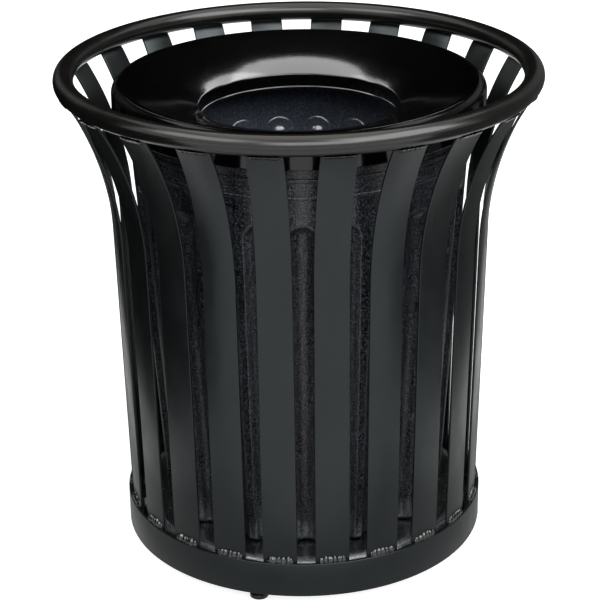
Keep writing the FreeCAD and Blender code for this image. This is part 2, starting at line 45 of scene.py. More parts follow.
BIN_HEIGHT = 0.644
RIM_DIAMETER = 0.610
TUBE_DIAMETER = 0.0254
BAND_DIAMETER = 0.474
BAND_BOTTOM = 0.016
BAND_HEIGHT = 0.046
BAND_THICKNESS = 0.0048
SLAT_COUNT = 22
SLAT_WIDTH = 0.043
SLAT_THICKNESS = 0.0032
SLAT_LEAN = math.radians(1.3)
SLAT_BEND_RADIUS = 0.365
SLAT_OVERLAP = 0.032
WELD_GAP = 0.0001
WELD_LENGTH = 0.036
LINER_BASE = 0.0562
LINER_BASE_RADIUS = 0.1840
LINER_HEIGHT = 0.5644
LINER_WALL = 0.003
LINER_FLOOR = 0.0035
LINER_CORNER = 0.012
LINER_DRAFT = math.radians(3.4)
LINER_RIM_REACH = 0.0085
LINER_RIM_DROP = 0.016
LINER_RIM_ROUND = 0.004
FLUTE_COUNT = 25
FLUTE_RADIUS = 0.020
FLUTE_OFFSET = 0.008
FLUTE_HEIGHT = 0.446
LID_THICKNESS = 0.0015
LID_SEAT_GAP = 0.0002
LID_CLEARANCE = 0.007
LID_SKIRT = 0.043
LID_SHOULDER = 0.013
LID_SLOPE = math.radians(17.0)
LID_CONE = 0.050
LID_OPENING = 0.252
LID_FUNNEL_DEPTH = 0.034
HEM_RADIUS = 0.002
FOOT_COUNT = 4
FOOT_INSET = 0.018
STUD_RADIUS = 0.005
STUD_TOP = 0.044
STUD_CHAMFER = 0.0012
THREAD_PITCH = 0.0015
COLLAR_FLATS = 0.016
COLLAR_BOTTOM = 0.0092
COLLAR_TOP = 0.0158
PIN_RADIUS = 0.004
PIN_END = 0.0032
PAD_RADIUS = 0.012
PAD_TOP_RADIUS = 0.009
PAD_HEIGHT = 0.009
PAD_SIDE = 0.005
PAD_SOLE = 0.003
RUNNING_GAP = 0.00005

# Finer sizes of the frame that only its looks have

BAR_EDGE = 0.0008
SLAT_EDGE = 0.0007
SOLID_EDGE = 0.0005
SOLID_JOIN = 0.00001
BAND_WELD_RISE = 0.0090
BAND_WELD_REACH = 0.0052
RIM_WELD_DROP = 0.0062
RIM_WELD_REACH = 0.0058
RIM_WELD_LIFT = 0.0012
RIPPLE_PITCH = 0.0060

# Finer sizes of the liner and of the lid, whose throat is longer than in the solids

FLUTE_BLEND = 0.0035
BEAD_HALF = 0.0027
BEAD_RISE = 0.0017
BEAD_LEVELS = (0.483, 0.505)
LINE_HALF = 0.0011
LINE_RISE = 0.0005
LINE_LEVELS = (0.4895, 0.4935, 0.4985, 0.5115, 0.5150, 0.5190, 0.5225)
INSIDE_TOP = 0.480
FLOOR_RINGS = (0.02, 0.10, 0.14)
FLOOR_EDGE = 0.002
RIM_NECK = 0.004
RIM_HOLLOW_ROUND = 0.0015
RIM_END_ROUND = 0.0007
MOUTH_ROUND = 0.002
LIP_ROUND = 0.0030
LID_THROAT = 0.020

# Finer sizes of the feet

AXIS_RING = 0.001
FOOT_EDGE = 0.0004
THREAD_DEPTH = 0.0009
THREAD_STEEPNESS = 2.4
COLLAR_FACE_SHARE = 1.04
COLLAR_EASE = 0.0006
COLLAR_EDGE = 0.0005
PAD_EDGE = 0.0010
PAD_EDGE_SHARE = 0.4
PAD_TAPER = 50
SOLE_RING = 0.002
GROOVE_INNER = 0.0066
GROOVE_OUTER = 0.0086
GROOVE_SLOPE = 0.0006
GROOVE_DEPTH = 0.0004

# Places worked out from the sizes

TUBE_RADIUS = TUBE_DIAMETER / 2
RIM_RADIUS = RIM_DIAMETER / 2 - TUBE_RADIUS
RIM_LEVEL = BIN_HEIGHT - TUBE_RADIUS
BAND_OUTER = BAND_DIAMETER / 2
BAND_INNER = BAND_OUTER - BAND_THICKNESS
BAND_TOP = BAND_BOTTOM + BAND_HEIGHT
FACE_RADIUS = math.sqrt((BAND_INNER - WELD_GAP) ** 2 - (SLAT_WIDTH / 2) ** 2)
HEAD_RADIUS = RIM_RADIUS + SLAT_THICKNESS
HEAD_LEVEL = RIM_LEVEL - TUBE_RADIUS - WELD_GAP
LINER_TOP = LINER_BASE + LINER_HEIGHT
LINER_SKIN = LINER_WALL / math.cos(LINER_DRAFT)
FLUTE_HEAD = FLUTE_HEIGHT - math.sqrt(FLUTE_RADIUS ** 2 - FLUTE_OFFSET ** 2)
LINER_RIM_UNDER = LINER_TOP - LINER_WALL
LINER_RIM_OUTER = (
    LINER_BASE_RADIUS + (LINER_RIM_UNDER - LINER_BASE) * math.tan(LINER_DRAFT) + LINER_RIM_REACH
)
LINER_MOUTH = LINER_BASE_RADIUS + LINER_HEIGHT * math.tan(LINER_DRAFT) - LINER_SKIN
LID_RADIUS = LINER_RIM_OUTER + LID_CLEARANCE + LID_THICKNESS
LID_CREST = LID_RADIUS - LID_SHOULDER
SHOULDER_UNDER = LID_SHOULDER - LID_THICKNESS
SEAT_REACH = LID_CREST - SHOULDER_UNDER * math.sin(LID_SLOPE) - LINER_MOUTH
SEAT_RISE = LID_SHOULDER - SHOULDER_UNDER * math.cos(LID_SLOPE) + SEAT_REACH * math.tan(LID_SLOPE)
LID_TOP = LINER_TOP + LID_SEAT_GAP + SEAT_RISE
LID_BOTTOM = LID_TOP - LID_SKIRT
CONE_OUTER = LID_CREST - LID_SHOULDER * math.sin(LID_SLOPE)
CONE_TOP = LID_TOP - LID_SHOULDER * (1 - math.cos(LID_SLOPE))
CONE_INNER = CONE_OUTER - LID_CONE * math.cos(LID_SLOPE)
CONE_END = CONE_TOP - LID_CONE * math.sin(LID_SLOPE)
LID_OPENING_RADIUS = LID_OPENING / 2
LID_LIP = LID_TOP - LID_FUNNEL_DEPTH
LID_THROAT_END = LID_LIP - LID_THROAT
FUNNEL_WIDTH = CONE_INNER - LID_OPENING_RADIUS
FUNNEL_DROP = CONE_END - LID_LIP
FUNNEL_BEND = 2 * (FUNNEL_DROP * math.cos(LID_SLOPE) - FUNNEL_WIDTH * math.sin(LID_SLOPE))
FUNNEL_RADIUS = (FUNNEL_WIDTH ** 2 + FUNNEL_DROP ** 2) / FUNNEL_BEND
FOOT_CIRCLE = BAND_INNER - FOOT_INSET

# Unevenness of the weld beads: shares of a bead's size, and scales and shifts of its pattern

WELD_TAPER_POWER = 6
SWELL_PLAIN = 0.66
SWELL_RIPPLE = 0.26
SWELL_WANDER = 0.26
RIPPLE_SHIFT = 0.37
WANDER_SCALE = 190.0
WANDER_SHIFT = 3.7
LUMP_SHARE = 0.10
LUMP_SCALE = 420.0
LUMP_TURN = 2.0
LUMP_SHIFT = 5.1

# Steps and segments of the meshes

EDGE_STEPS = 3
TUBE_STEPS = 40
HOOP_SEGMENTS = 320
BAND_SEGMENTS = 288
STRAIGHT_STEPS = 12
BEND_STEPS = 28
WELD_STEPS = 72
WELD_SECTION_STEPS = 9
FLUTE_COLUMNS = 28
CORNER_TURNS = (270, 292, 314, 336)
RIM_HOLLOW_STEPS = 3
RIM_END_STEPS = 2
RIM_TOP_STEPS = 6
MOUTH_STEPS = 4
SHOULDER_STEPS = 18
FUNNEL_STEPS = 24
LIP_STEPS = 10
THROAT_HEM_STEPS = 20
FUNNEL_UNDER_STEPS = 20
SHOULDER_UNDER_STEPS = 14
SKIRT_HEM_STEPS = 18
STUD_COLUMNS = 48
THREAD_ROWS = 6
PAD_COLUMNS = 64
PAD_STEPS = 4
SOLID_EDGE_STEPS = 2

# Rows of the liner's wall

WALL_ROWS = 14
WALL_ROW = 0.030
HEAD_ROWS = 14
HEAD_ROW = 0.0024
HEAD_LEAD = 0.004
HEAD_CLEAR = 0.006
PLAIN_LEVELS = (0.462, 0.475)
BEAD_SHARES = (-1.0, -0.92, -0.7, -0.3, 0.3, 0.7, 0.92, 1.0)
LINE_SHARES = (-1.0, -0.4, 0.4, 1.0)

# Angles in degrees past which an edge is sharp

PLAIN_CREASE = 40
WELD_CREASE = 70
LINER_CREASE = 60
LID_CREASE = 50
FOOT_CREASE = 30
SOLID_CREASE = 50

# Studio: floor, world, cards and the place that the lamps look at

WHITE = (1.0, 1.0, 1.0)
WARM_WHITE = (1.0, 0.97, 0.90)
FLOOR_REACH = 14.0
FLOOR_LIFT = 0.76
FLOOR_FADE = 3.0
WORLD_FILL = 0.15
LIGHT_AIM = (0.0, 0.0, 0.6)
CARD_FOOT = 0.001
CARD_LEFT = -0.56
CARD_RIGHT = 0.64
CARD_FRONT = -0.55
CARD_STEP = -0.25
CARD_FAR = 1.75
LOW_CARD_HEIGHT = 0.66
SIDE_CARD_HEIGHT = 1.15
BACK_CARD_HALF = 2.15
BACK_CARD_HEIGHT = 3.0
FLOOR_CARD_HALF = 1.6
FLOOR_CARD_FRONT = -2.6
FLOOR_CARD_LEVEL = 0.0006
# Square card round the bin, a painted shadow on the floor as the bin's reflections see it
PAINTED_SHADOW_HALF = 0.41
PAINTED_SHADOW_LEVEL = 0.0008
CEILING_HALF = 0.8
CEILING_FRONT = -0.7
CEILING_LEVEL = 2.4
LEVEL_CARD_BACK = 1.30

# Camera: its place and turns, with the lens and the sensor in millimetres

CAMERA_STAND = (0.0036, -2.331, 1.318)
CAMERA_ORBIT = math.radians(-0.54)
CAMERA_YAW = math.radians(-0.14)
CAMERA_PITCH = math.radians(23.168)
CAMERA_ROLL = math.radians(-0.756)
CAMERA_SENSOR = 36.0
CAMERA_LENS = 116.25


# Geometry helpers


def around(radius, angle, level):
    return (radius * math.sin(angle), -radius * math.cos(angle), level)


def arc(centre, radius, start, end, steps):
    # Points of an arc in the plane of radius and level, its angles in degrees from outwards to up
    points = []
    for step in range(steps + 1):
        angle = math.radians(start + (end - start) * step / steps)
        points.append((centre[0] + radius * math.cos(angle), centre[1] + radius * math.sin(angle)))
    return points


def rounded_bar(low, high, edge):
    # Outline of a bar's section between two corners, with its four edges rounded
    corners = (
        ((high[0] - edge, low[1] + edge), 270),
        ((high[0] - edge, high[1] - edge), 0),
        ((low[0] + edge, high[1] - edge), 90),
        ((low[0] + edge, low[1] + edge), 180),
    )
    outline = []
    for centre, start in corners:
        outline += arc(centre, edge, start, start + 90, EDGE_STEPS)
    return outline


def loft(rings, around_closed, caps):
    # Quads between rings of equal length, with the last ring joined to the first or with flat ends
    count = len(rings[0])
    vertices = [point for ring in rings for point in ring]
    faces = []
    joins = len(rings) if around_closed else len(rings) - 1
    for index in range(joins):
        here = index * count
        there = (index + 1) % len(rings) * count
        for row in range(count):
            after = (row + 1) % count
            faces.append((here + row, there + row, there + after, here + after))
    if caps:
        faces.append(tuple(range(count)))
        faces.append(tuple(range(len(vertices) - 1, len(vertices) - 1 - count, -1)))
    return vertices, faces


def turned(outline, segments):
    # A closed outline of radius and level, turned round the axis
    rings = []
    for segment in range(segments):
        angle = 2 * math.pi * segment / segments
        rings.append([around(radius, angle, level) for radius, level in outline])
    return loft(rings, True, False)


def stacked(profile_at, columns):
    # A closed skin from the bottom middle to the top middle, whose profile may change with the angle
    profiles = []
    for column in range(columns):
        angle = 2 * math.pi * column / columns
        profiles.append([around(radius, angle, level) for radius, level in profile_at(angle)])
    rings = [list(level) for level in zip(*profiles)]
    return loft(rings, False, True)


def join_shapes(shapes):
    vertices, faces = [], []
    for more_vertices, more_faces in shapes:
        first = len(vertices)
        vertices += more_vertices
        faces += [tuple(first + corner for corner in face) for face in more_faces]
    return vertices, faces


def moved(shape, place):
    vertices, faces = shape
    return [tuple(Vector(point) + place) for point in vertices], faces


def make_piece(node, shape, material, body, crease=PLAIN_CREASE):
    # The look of one node, on its body and in its place
    name = f"{node}_look"
    vertices, faces = shape
    mesh = bpy.data.meshes.new(name)
    mesh.from_pydata(vertices, [], faces)
    work = bmesh.new()
    work.from_mesh(mesh)
    bmesh.ops.recalc_face_normals(work, faces=work.faces)
    work.to_mesh(mesh)
    work.free()
    mesh.shade_smooth()
    mesh.set_sharp_from_angle(angle=math.radians(crease))
    mesh.materials.append(material)
    piece = bpy.data.objects.new(name, mesh)
    bpy.context.scene.collection.objects.link(piece)
    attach(piece, body)
    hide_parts(node)
    return piece


# Materials


def add_node(tree, kind, inputs=None, **settings):
    made = tree.nodes.new(kind)
    for name, value in settings.items():
        setattr(made, name, value)
    for name, value in (inputs or {}).items():
        made.inputs[name].default_value = value
    return made


def new_surface(name, **sockets):
    # A principled surface with its even values set
    material = bpy.data.materials.new(name)
    material.use_nodes = True
    shader = material.node_tree.nodes["Principled BSDF"]
    for socket, value in sockets.items():
        shader.inputs[socket.replace("_", " ")].default_value = value
    return material


def new_material(name, **sockets):
    # A surface with its node tree, and the place on the piece that its patterns follow
    material = new_surface(name, **sockets)
    tree = material.node_tree
    place = add_node(tree, "ShaderNodeTexCoord").outputs["Object"]
    return material, tree, place


def link_surface(tree, colour, roughness, normal):
    shader = tree.nodes["Principled BSDF"]
    tree.links.new(colour, shader.inputs["Base Color"])
    tree.links.new(roughness, shader.inputs["Roughness"])
    tree.links.new(normal, shader.inputs["Normal"])


def stretched(tree, place, scale):
    mapping = add_node(tree, "ShaderNodeMapping", {"Scale": scale})
    tree.links.new(place, mapping.inputs["Vector"])
    return mapping.outputs["Vector"]


def cloud(tree, place, scale, detail, roughness=0.55):
    texture = add_node(
        tree, "ShaderNodeTexNoise", {"Scale": scale, "Detail": detail, "Roughness": roughness}
    )
    tree.links.new(place, texture.inputs["Vector"])
    return texture.outputs["Fac"]


def between(tree, value, first, last, start=0.35, end=0.65):
    # From the first value to the last while the pattern goes from start to end
    spread = add_node(
        tree,
        "ShaderNodeMapRange",
        {"From Min": start, "From Max": end, "To Min": first, "To Max": last},
    )
    tree.links.new(value, spread.inputs["Value"])
    return spread.outputs["Result"]


def tint(tree, value, first, last, start=0.35, end=0.70):
    # From the first colour to the last while the pattern goes from start to end
    ramp = add_node(tree, "ShaderNodeValToRGB")
    for element, position, colour in zip(ramp.color_ramp.elements, (start, end), (first, last)):
        element.position = position
        element.color = (*colour, 1.0)
    tree.links.new(value, ramp.inputs["Fac"])
    return ramp.outputs["Color"]


def bump(tree, height, strength, distance, before=None):
    made = add_node(tree, "ShaderNodeBump", {"Strength": strength, "Distance": distance})
    tree.links.new(height, made.inputs["Height"])
    if before is not None:
        tree.links.new(before, made.inputs["Normal"])
    return made.outputs["Normal"]


def powder_coat(name, dark, light, smooth, rough, specular, sheen=WHITE, peel_depth=0.03):
    # Satin powder coat: slight orange peel, faint cloudiness and a few dull scuffs
    material, tree, place = new_material(
        name, Specular_IOR_Level=specular, Specular_Tint=(*sheen, 1.0)
    )
    tone = cloud(tree, place, scale=14.0, detail=5.0)
    drawn_out = stretched(tree, place, (1.0, 1.0, 0.35))
    scuffs = cloud(tree, drawn_out, scale=40.0, detail=6.0, roughness=0.7)
    waves = cloud(tree, place, scale=60.0, detail=2.0)
    peel = cloud(tree, place, scale=520.0, detail=1.0)
    wavy = bump(tree, waves, strength=0.05, distance=0.0008)
    link_surface(
        tree,
        colour=tint(tree, tone, dark, light, end=0.65),
        roughness=between(tree, scuffs, smooth, rough, start=0.4, end=0.7),
        normal=bump(tree, peel, strength=peel_depth, distance=0.0002, before=wavy),
    )
    return material


def gloss_paint():
    # Gloss black paint on spun sheet: soft cloudiness, dust that dulls it in specks, and shallow waves
    material, tree, place = new_material("lid_coat", Specular_IOR_Level=0.55)
    tone = cloud(tree, place, scale=22.0, detail=5.0)
    dust = cloud(tree, place, scale=240.0, detail=4.0, roughness=0.7)
    waves = cloud(tree, place, scale=38.0, detail=2.0)
    peel = cloud(tree, place, scale=420.0, detail=1.0)
    wavy = bump(tree, waves, strength=0.12, distance=0.0012)
    link_surface(
        tree,
        colour=tint(tree, tone, (0.0006, 0.0006, 0.0006), (0.0015, 0.0014, 0.0013)),
        roughness=between(tree, dust, 0.11, 0.17, start=0.45, end=0.75),
        normal=bump(tree, peel, strength=0.06, distance=0.0003, before=wavy),
    )
    return material


def moulded_plastic(name, dark, light, smooth, rough, grain_depth, specular):
    # Moulded plastic: fine grain with pale specks, and faint streaks up the wall
    material, tree, place = new_material(name, Specular_IOR_Level=specular)
    drawn_out = stretched(tree, place, (1.0, 1.0, 0.06))
    streaks = cloud(tree, drawn_out, scale=150.0, detail=4.0, roughness=0.6)
    grain = cloud(tree, place, scale=430.0, detail=2.0, roughness=0.6)
    patches = cloud(tree, place, scale=30.0, detail=4.0)
    tone = add_node(tree, "ShaderNodeMix", {"Factor": 0.82})
    tree.links.new(streaks, tone.inputs["A"])
    tree.links.new(grain, tone.inputs["B"])
    streaky = bump(tree, streaks, strength=0.25, distance=0.0006)
    link_surface(
        tree,
        colour=tint(tree, tone.outputs["Result"], dark, light, start=0.47, end=0.62),
        roughness=between(tree, patches, smooth, rough),
        normal=bump(tree, grain, strength=grain_depth, distance=0.0005, before=streaky),
    )
    return material


def zinc_plate():
    # Zinc plate: pale grey metal with soft cloudy bloom and fine rolled grain
    material, tree, place = new_material("zinc_steel", Metallic=1.0)
    bloom = cloud(tree, place, scale=55.0, detail=6.0, roughness=0.6)
    grain = cloud(tree, place, scale=900.0, detail=2.0)
    link_surface(
        tree,
        colour=tint(tree, bloom, (0.50, 0.52, 0.54), (0.72, 0.74, 0.75), start=0.3),
        roughness=between(tree, bloom, 0.28, 0.18),
        normal=bump(tree, grain, strength=0.12, distance=0.0002),
    )
    return material


def nylon():
    # Moulded nylon foot: dark, slightly mottled and worn duller in patches
    material, tree, place = new_material("foot_nylon", Specular_IOR_Level=0.5)
    mottle = cloud(tree, place, scale=180.0, detail=5.0)
    grain = cloud(tree, place, scale=1200.0, detail=2.0)
    link_surface(
        tree,
        colour=tint(tree, mottle, (0.010, 0.010, 0.011), (0.024, 0.024, 0.025)),
        roughness=between(tree, mottle, 0.14, 0.26),
        normal=bump(tree, grain, strength=0.15, distance=0.0002),
    )
    return material


SLAT_COAT = powder_coat(
    "slat_coat",
    dark=(0.0028, 0.0036, 0.0038),
    light=(0.0052, 0.0064, 0.0066),
    smooth=0.28,
    rough=0.40,
    specular=0.45,
    sheen=(0.90, 1.0, 1.02),
)
TUBE_COAT = powder_coat(
    "tube_coat",
    dark=(0.0040, 0.0038, 0.0034),
    light=(0.0060, 0.0057, 0.0051),
    smooth=0.20,
    rough=0.25,
    specular=0.55,
    peel_depth=0.01,
)
# Weld beads: the frame's powder coat made glossier, and painted lighter than the slats as a painted
# highlight for the glints along the beads
WELD_COAT_PAINTED_GLINT = powder_coat(
    "weld_coat_painted_glint",
    dark=(0.0060, 0.0066, 0.0068),
    light=(0.0110, 0.0120, 0.0122),
    smooth=0.12,
    rough=0.20,
    specular=0.9,
)
LID_COAT = gloss_paint()
LINER_OUTSIDE = moulded_plastic(
    "liner_plastic",
    dark=(0.0012, 0.0014, 0.0021),
    light=(0.0680, 0.0750, 0.0950),
    smooth=0.26,
    rough=0.35,
    grain_depth=0.90,
    specular=0.58,
)
# The liner's inside: the same plastic with a smoother, glossier face, and painted lighter than the
# outside as painted light for the inside that the lid shades
LINER_INSIDE_PAINTED_LIGHT = moulded_plastic(
    "liner_inside",
    dark=(0.0500, 0.0600, 0.0800),
    light=(0.1000, 0.1140, 0.1420),
    smooth=0.12,
    rough=0.20,
    grain_depth=0.06,
    specular=1.0,
)
ZINC = zinc_plate()
NYLON = nylon()


# Rim tube and base band


def make_rim():
    section = arc((RIM_RADIUS, RIM_LEVEL), TUBE_RADIUS, 0, 360, TUBE_STEPS)[:-1]
    make_piece("rim_tube", turned(section, HOOP_SEGMENTS), TUBE_COAT, "frame")


def make_band():
    section = rounded_bar((BAND_INNER, BAND_BOTTOM), (BAND_OUTER, BAND_TOP), BAR_EDGE)
    make_piece("base_band", turned(section, BAND_SEGMENTS), SLAT_COAT, "frame")


# Slats


def slat_angle(index):
    return (index + 0.5) * 2 * math.pi / SLAT_COUNT


def bend_run():
    # Length of the straight above the band's top, so that the one bend ends at the slat's head
    out = HEAD_RADIUS - FACE_RADIUS
    up = HEAD_LEVEL - BAND_TOP
    along = out * math.sin(SLAT_LEAN) + up * math.cos(SLAT_LEAN)
    aside = out * math.cos(SLAT_LEAN) - up * math.sin(SLAT_LEAN)
    return along - math.sqrt(aside * (2 * SLAT_BEND_RADIUS - aside))


def slat_path():
    # Radius, level and lean along a slat's outer face, from its foot to its head
    out, up = math.sin(SLAT_LEAN), math.cos(SLAT_LEAN)
    straight = bend_run()
    path = []
    for step in range(STRAIGHT_STEPS):
        run = -SLAT_OVERLAP + (straight + SLAT_OVERLAP) * step / STRAIGHT_STEPS
        path.append((FACE_RADIUS + run * out, BAND_TOP + run * up, SLAT_LEAN))
    centre_radius = FACE_RADIUS + straight * out + SLAT_BEND_RADIUS * up
    centre_level = BAND_TOP + straight * up - SLAT_BEND_RADIUS * out
    head_lean = math.asin((HEAD_LEVEL - centre_level) / SLAT_BEND_RADIUS)
    for step in range(BEND_STEPS + 1):
        lean = SLAT_LEAN + (head_lean - SLAT_LEAN) * step / BEND_STEPS
        radius = centre_radius - SLAT_BEND_RADIUS * math.cos(lean)
        level = centre_level + SLAT_BEND_RADIUS * math.sin(lean)
        path.append((radius, level, lean))
    return path


def beside(radius, angle, level, aside):
    # A point set off sideways from the radius at an angle
    across = Vector(around(radius, angle, level))
    return across + Vector((math.cos(angle), math.sin(angle), 0)) * aside


def make_slats():
    section = rounded_bar((-SLAT_WIDTH / 2, -SLAT_THICKNESS), (SLAT_WIDTH / 2, 0.0), SLAT_EDGE)
    path = slat_path()
    for index in range(SLAT_COUNT):
        angle = slat_angle(index)
        rings = []
        for radius, level, lean in path:
            ring = []
            for aside, out in section:
                place = beside(
                    radius + out * math.cos(lean), angle, level - out * math.sin(lean), aside
                )
                place.z = min(place.z, HEAD_LEVEL)
                ring.append(tuple(place))
            rings.append(ring)
        shape = loft(rings, False, True)
        make_piece(f"slat_{index + 1:02d}", shape, SLAT_COAT, "frame")


# Weld beads


def weld_swell(aside, seed):
    # Share of its full size that a bead has along it: tapered ends, ripples and a slow wander
    taper = math.sqrt(max(1.0 - (2 * aside / WELD_LENGTH) ** WELD_TAPER_POWER, 0.0))
    ripple = abs(math.sin(math.pi * (aside / RIPPLE_PITCH + seed * RIPPLE_SHIFT)))
    wander = noise.noise(Vector((aside * WANDER_SCALE, seed * WANDER_SHIFT, 0.0)))
    return taper * (SWELL_PLAIN + SWELL_RIPPLE * math.sqrt(ripple) + SWELL_WANDER * wander)


def weld_bead(angle, corner, first_leg, second_leg, seed):
    # A lumpy fillet along a corner, its legs given as radius and level
    rings = []
    for step in range(WELD_STEPS + 1):
        aside = WELD_LENGTH * (step / WELD_STEPS - 0.5)
        swell = weld_swell(aside, seed)
        ring = [tuple(beside(corner[0] - WELD_GAP, angle, corner[1] - WELD_GAP, aside))]
        for turn in range(WELD_SECTION_STEPS + 1):
            share = math.pi / 2 * turn / WELD_SECTION_STEPS
            spot = Vector((aside * LUMP_SCALE, share * LUMP_TURN, seed * LUMP_SHIFT))
            lump = swell * (1 + LUMP_SHARE * noise.noise(spot))
            radius, level = (
                start + lump * (first * math.cos(share) + second * math.sin(share))
                for start, first, second in zip(corner, first_leg, second_leg)
            )
            ring.append(tuple(beside(radius, angle, level, aside)))
        rings.append(ring)
    return loft(rings, False, True)


def make_welds():
    head_lean = slat_path()[-1][2]
    band_corner = (FACE_RADIUS, BAND_TOP)
    up_slat = (BAND_WELD_RISE * math.sin(SLAT_LEAN), BAND_WELD_RISE * math.cos(SLAT_LEAN))
    over_band = (BAND_WELD_REACH, 0.0)
    rim_corner = (HEAD_RADIUS, HEAD_LEVEL)
    down_slat = (-RIM_WELD_DROP * math.sin(head_lean), -RIM_WELD_DROP * math.cos(head_lean))
    under_rim = (RIM_WELD_REACH, RIM_WELD_LIFT)
    band_beads, rim_beads = [], []
    for index in range(SLAT_COUNT):
        angle = slat_angle(index)
        band_beads.append(weld_bead(angle, band_corner, up_slat, over_band, index))
        rim_beads.append(weld_bead(angle, rim_corner, down_slat, under_rim, index + SLAT_COUNT))
    for node, beads in (("band_welds", band_beads), ("rim_welds", rim_beads)):
        make_piece(node, join_shapes(beads), WELD_COAT_PAINTED_GLINT, "frame", WELD_CREASE)


# Liner


def soft_least(first, second, blend):
    # The lesser of two values, rounded over where they meet
    share = max(blend - abs(first - second), 0.0) / blend
    return min(first, second) - share * share * blend / 4


def liner_radius(angle, height, inset):
    # Radius of the fluted wall at a height above the base, inset from its outside
    wall = LINER_BASE_RADIUS + height * math.tan(LINER_DRAFT) - inset
    pitch = 2 * math.pi / FLUTE_COUNT
    turn = (angle + pitch / 2) % pitch - pitch / 2
    reach = FLUTE_RADIUS + inset
    above = max(height - FLUTE_HEAD, 0.0)
    if above >= reach:
        return wall
    size = reach * reach - above * above
    axis = LINER_BASE_RADIUS + FLUTE_OFFSET / math.cos(LINER_DRAFT) + height * math.tan(LINER_DRAFT)
    inside = size - (axis * math.sin(turn)) ** 2
    if inside <= 0:
        return wall
    return soft_least(wall, axis * math.cos(turn) - math.sqrt(inside), FLUTE_BLEND)


def liner_swell(height):
    # How far the beads and the fine lines near the top stand out from the wall
    swell = 0.0
    for level in BEAD_LEVELS:
        reach = abs(height - level) / BEAD_HALF
        if reach < 1:
            swell = max(swell, BEAD_RISE * math.sqrt(1 - reach * reach))
    for level in LINE_LEVELS:
        reach = abs(height - level) / LINE_HALF
        if reach < 1:
            swell = max(swell, LINE_RISE * (1 - reach * reach))
    return swell


def liner_heights():
    # Heights of the wall's rows: close together where the flutes end and across the beads and lines
    heights = [LINER_CORNER + WALL_ROW * step for step in range(WALL_ROWS)]
    heights += [FLUTE_HEAD - HEAD_LEAD + HEAD_ROW * step for step in range(HEAD_ROWS)]
    heights = [height for height in heights if height < FLUTE_HEIGHT + HEAD_CLEAR]
    heights += [FLUTE_HEIGHT + HEAD_CLEAR, *PLAIN_LEVELS]
    for level in BEAD_LEVELS:
        heights += [level + BEAD_HALF * share for share in BEAD_SHARES]
    for level in LINE_LEVELS:
        heights += [level + LINE_HALF * share for share in LINE_SHARES]
    return sorted(set(heights))


def inside_heights():
    # The same rows from the top down, as far as the inside has them
    return [height for height in reversed(liner_heights()) if height < INSIDE_TOP]


def liner_corner(angle, turns, floor, radius, inset):
    # The round between the liner's floor and its wall
    points = []
    for turn in turns:
        reach = math.radians(turn)
        height = floor + radius * (1 + math.sin(reach))
        drawn_in = radius * (1 - math.cos(reach))
        points.append((liner_radius(angle, height, inset) - drawn_in, LINER_BASE + height))
    return points


def liner_rim():
    # The rim's section from its hollow underside, round its lower end and over its outer edge
    hollow = LINER_RIM_OUTER - LINER_WALL
    end = LINER_TOP - LINER_RIM_DROP + RIM_END_ROUND
    hollow_centre = (hollow - RIM_HOLLOW_ROUND, LINER_RIM_UNDER - RIM_HOLLOW_ROUND)
    top_centre = (LINER_RIM_OUTER - LINER_RIM_ROUND, LINER_TOP - LINER_RIM_ROUND)
    section = [(hollow - LINER_RIM_REACH + LINER_WALL, LINER_RIM_UNDER - RIM_NECK)]
    section += arc(hollow_centre, RIM_HOLLOW_ROUND, 90, 0, RIM_HOLLOW_STEPS)
    section += arc((hollow + RIM_END_ROUND, end), RIM_END_ROUND, 180, 270, RIM_END_STEPS)
    section += arc((LINER_RIM_OUTER - RIM_END_ROUND, end), RIM_END_ROUND, 270, 360, RIM_END_STEPS)
    section += arc(top_centre, LINER_RIM_ROUND, 0, 90, RIM_TOP_STEPS)
    return section


def liner_profile(angle):
    # From the middle of the underside, up the outside, over the rim and down the inside
    profile = [(radius, LINER_BASE) for radius in FLOOR_RINGS]
    profile.append((liner_radius(angle, 0.0, 0.0) - LINER_CORNER - FLOOR_EDGE, LINER_BASE))
    profile += liner_corner(angle, CORNER_TURNS, 0.0, LINER_CORNER, 0.0)
    for height in liner_heights():
        profile.append((liner_radius(angle, height, 0.0) + liner_swell(height), LINER_BASE + height))
    profile += liner_rim()
    mouth = liner_radius(angle, LINER_HEIGHT, LINER_SKIN) + MOUTH_ROUND
    profile += arc((mouth, LINER_TOP - MOUTH_ROUND), MOUTH_ROUND, 90, 180, MOUTH_STEPS)
    for height in inside_heights():
        profile.append((liner_radius(angle, height, LINER_SKIN), LINER_BASE + height))
    corner = LINER_CORNER - LINER_FLOOR
    profile += liner_corner(angle, reversed(CORNER_TURNS), LINER_FLOOR, corner, LINER_SKIN)
    floor_level = LINER_BASE + LINER_FLOOR
    floor_end = liner_radius(angle, LINER_FLOOR, LINER_SKIN) - corner - FLOOR_EDGE
    profile.append((floor_end, floor_level))
    profile += [(radius, floor_level) for radius in reversed(FLOOR_RINGS)]
    return profile


def make_liner():
    columns = FLUTE_COUNT * FLUTE_COLUMNS
    shape = stacked(liner_profile, columns)
    liner = make_piece("liner", shape, LINER_OUTSIDE, "liner", LINER_CREASE)
    # The inside faces take the lighter inside plastic: painted light for the inside that the lid shades
    liner.data.materials.append(LINER_INSIDE_PAINTED_LIGHT)
    rows = len(liner_profile(0.0)) - 1
    inside_rows = len(inside_heights()) + len(CORNER_TURNS) + 1 + len(FLOOR_RINGS)
    for face in liner.data.polygons[(rows - inside_rows) * columns:rows * columns]:
        face.material_index = 1


# Lid


